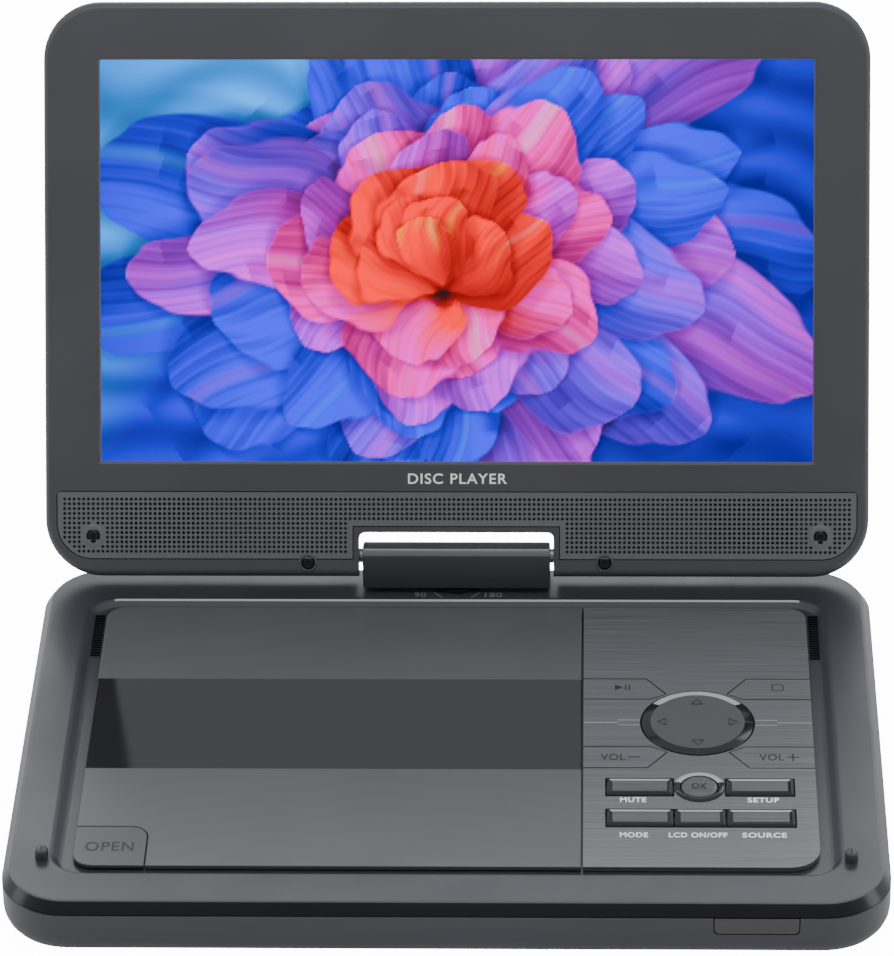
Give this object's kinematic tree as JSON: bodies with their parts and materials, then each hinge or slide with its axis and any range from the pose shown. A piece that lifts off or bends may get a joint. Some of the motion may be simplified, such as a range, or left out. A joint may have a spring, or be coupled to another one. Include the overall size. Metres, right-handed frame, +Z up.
{
  "type": "portable disc player",
  "caption": "Clamshell disc player with a swivelling and tilting 10.1 inch screen, hinged disc cover, keypad and pressing keys.",
  "frame": {"origin": "on the table, under the middle of the overall box with the lid at rest, leaning 28.3 degrees back", "axes": "+X to the viewer's right, +Y to the back, +Z up"},
  "size_m": [0.2592, 0.2594, 0.185],
  "materials": {
    "satin_black_plastic": "satin moulded",
    "brushed_fascia": "horizontally brushed, dark anodised",
    "gloss_key_plastic": "gloss",
    "inner_plastic": "matt",
    "rubber": "matt",
    "silicone": "matt",
    "steel": "brushed",
    "black_steel": "blackened",
    "circuit_board": "solder mask",
    "battery_wrap": "shrink wrap",
    "smoked_window": "gloss, smoked",
    "screen_glass": "gloss, lit picture"
  },
  "bodies": {
    "base": {"base_lower_shell": "satin_black_plastic", "base_upper_shell": "satin_black_plastic", "control_fascia": "brushed_fascia", "main_board": "circuit_board", "battery_pack": "battery_wrap", "infrared_window": "smoked_window", "usb_port": "steel", "card_slot": "steel", "dc_jack": "inner_plastic", "headphone_jack": "inner_plastic", "foot_1": "rubber", "foot_2": "rubber", "foot_3": "rubber", "foot_4": "rubber", "bumper_left": "rubber", "bumper_right": "rubber", "loader_chassis": "steel", "spindle_motor": "steel", "sled_motor": "steel", "guide_rail_left": "steel", "guide_rail_right": "steel", "key_board": "circuit_board", "key_mat": "silicone"},
    "disc_cover": {"disc_cover": "satin_black_plastic"},
    "open_button": {"open_button": "satin_black_plastic"},
    "power_switch": {"power_switch": "inner_plastic"},
    "turntable": {"turntable_hub": "inner_plastic"},
    "pickup": {"pickup": "inner_plastic"},
    "lead_screw": {"lead_screw": "steel"},
    "pad_gimbal": {"pad_gimbal": "steel"},
    "direction_pad": {"direction_pad": "brushed_fascia"},
    "play_key": {"play_key": "brushed_fascia"},
    "stop_key": {"stop_key": "brushed_fascia"},
    "volume_down_key": {"volume_down_key": "brushed_fascia"},
    "volume_up_key": {"volume_up_key": "brushed_fascia"},
    "mute_key": {"mute_key": "gloss_key_plastic"},
    "ok_key": {"ok_key": "gloss_key_plastic"},
    "setup_key": {"setup_key": "gloss_key_plastic"},
    "mode_key": {"mode_key": "gloss_key_plastic"},
    "screen_key": {"screen_key": "gloss_key_plastic"},
    "source_key": {"source_key": "gloss_key_plastic"},
    "swivel": {"hinge_housing": "gloss_key_plastic", "swivel_post": "black_steel", "swivel_retainer": "black_steel"},
    "lid": {"lid_back_shell": "satin_black_plastic", "lid_bezel": "satin_black_plastic", "speaker_grille": "satin_black_plastic", "screen_panel": "screen_glass", "backlight_tray": "steel", "speaker_left": "inner_plastic", "speaker_right": "inner_plastic", "screen_board": "circuit_board", "hinge_pin_left": "steel", "hinge_pin_right": "steel", "hinge_bracket_left": "steel", "hinge_bracket_right": "steel", "lid_screw_1": "black_steel", "lid_screw_2": "black_steel", "lid_screw_3": "black_steel", "lid_screw_4": "black_steel"}
  },
  "joints": [
    {"name": "lid_swivel", "type": "hinge", "parent": "base", "child": "swivel", "pos_m": [0, 0.04282, 0.02], "axis": [0, 0, 1], "range_deg": [-90, 180]},
    {"name": "lid_tilt", "type": "hinge", "parent": "swivel", "child": "lid", "pos_m": [0, 0.04282, 0.03], "axis": [1, 0, 0], "range_deg": [-61.7, 118.3]},
    {"name": "disc_cover_hinge", "type": "hinge", "parent": "base", "child": "disc_cover", "pos_m": [-0.0349, 0.02742, 0.0193], "axis": [-1, 0, 0], "range_deg": [0, 70]},
    {"name": "open_button_press", "type": "slide", "parent": "base", "child": "open_button", "axis": [0, 0, -1], "range_m": [0, 0.0005], "stiffness_N_per_m": 700},
    {"name": "power_switch_slide", "type": "slide", "parent": "base", "child": "power_switch", "axis": [0, 1, 0], "range_m": [0, 0.0032]},
    {"name": "turntable_spin", "type": "hinge", "parent": "base", "child": "turntable", "pos_m": [-0.035, -0.04068, 0.014], "axis": [0, 0, 1], "continuous": true},
    {"name": "sled_slide", "type": "slide", "parent": "base", "child": "pickup", "axis": [0, -1, 0], "range_m": [0, 0.032]},
    {"name": "lead_screw_turn", "type": "hinge", "parent": "base", "child": "lead_screw", "pos_m": [-0.0125, -0.11668, 0.008], "axis": [0, 1, 0], "range_deg": [0, 3845]},
    {"name": "pad_rock_front_back", "type": "hinge", "parent": "base", "child": "pad_gimbal", "pos_m": [0.0745, -0.03548, 0.0188], "axis": [1, 0, 0], "range_deg": [-1.6, 1.6], "stiffness_Nm_per_rad": 1.2},
    {"name": "pad_rock_side", "type": "hinge", "parent": "pad_gimbal", "child": "direction_pad", "pos_m": [0.0745, -0.03548, 0.0188], "axis": [0, 1, 0], "range_deg": [-1.6, 1.6], "stiffness_Nm_per_rad": 1.2},
    {"name": "play_key_press", "type": "slide", "parent": "base", "child": "play_key", "axis": [0, 0, -1], "range_m": [0, 0.0005], "stiffness_N_per_m": 600},
    {"name": "stop_key_press", "type": "slide", "parent": "base", "child": "stop_key", "axis": [0, 0, -1], "range_m": [0, 0.0005], "stiffness_N_per_m": 600},
    {"name": "volume_down_key_press", "type": "slide", "parent": "base", "child": "volume_down_key", "axis": [0, 0, -1], "range_m": [0, 0.0005], "stiffness_N_per_m": 600},
    {"name": "volume_up_key_press", "type": "slide", "parent": "base", "child": "volume_up_key", "axis": [0, 0, -1], "range_m": [0, 0.0005], "stiffness_N_per_m": 600},
    {"name": "mute_key_press", "type": "slide", "parent": "base", "child": "mute_key", "axis": [0, 0, -1], "range_m": [0, 0.0005], "stiffness_N_per_m": 600},
    {"name": "ok_key_press", "type": "slide", "parent": "base", "child": "ok_key", "axis": [0, 0, -1], "range_m": [0, 0.0005], "stiffness_N_per_m": 600},
    {"name": "setup_key_press", "type": "slide", "parent": "base", "child": "setup_key", "axis": [0, 0, -1], "range_m": [0, 0.0005], "stiffness_N_per_m": 600},
    {"name": "mode_key_press", "type": "slide", "parent": "base", "child": "mode_key", "axis": [0, 0, -1], "range_m": [0, 0.0005], "stiffness_N_per_m": 600},
    {"name": "screen_key_press", "type": "slide", "parent": "base", "child": "screen_key", "axis": [0, 0, -1], "range_m": [0, 0.0005], "stiffness_N_per_m": 600},
    {"name": "source_key_press", "type": "slide", "parent": "base", "child": "source_key", "axis": [0, 0, -1], "range_m": [0, 0.0005], "stiffness_N_per_m": 600}
  ],
  "couplings": [
    {"joint": "lead_screw_turn", "follows": "sled_slide", "rad_per_m": 2094.4}
  ]
}
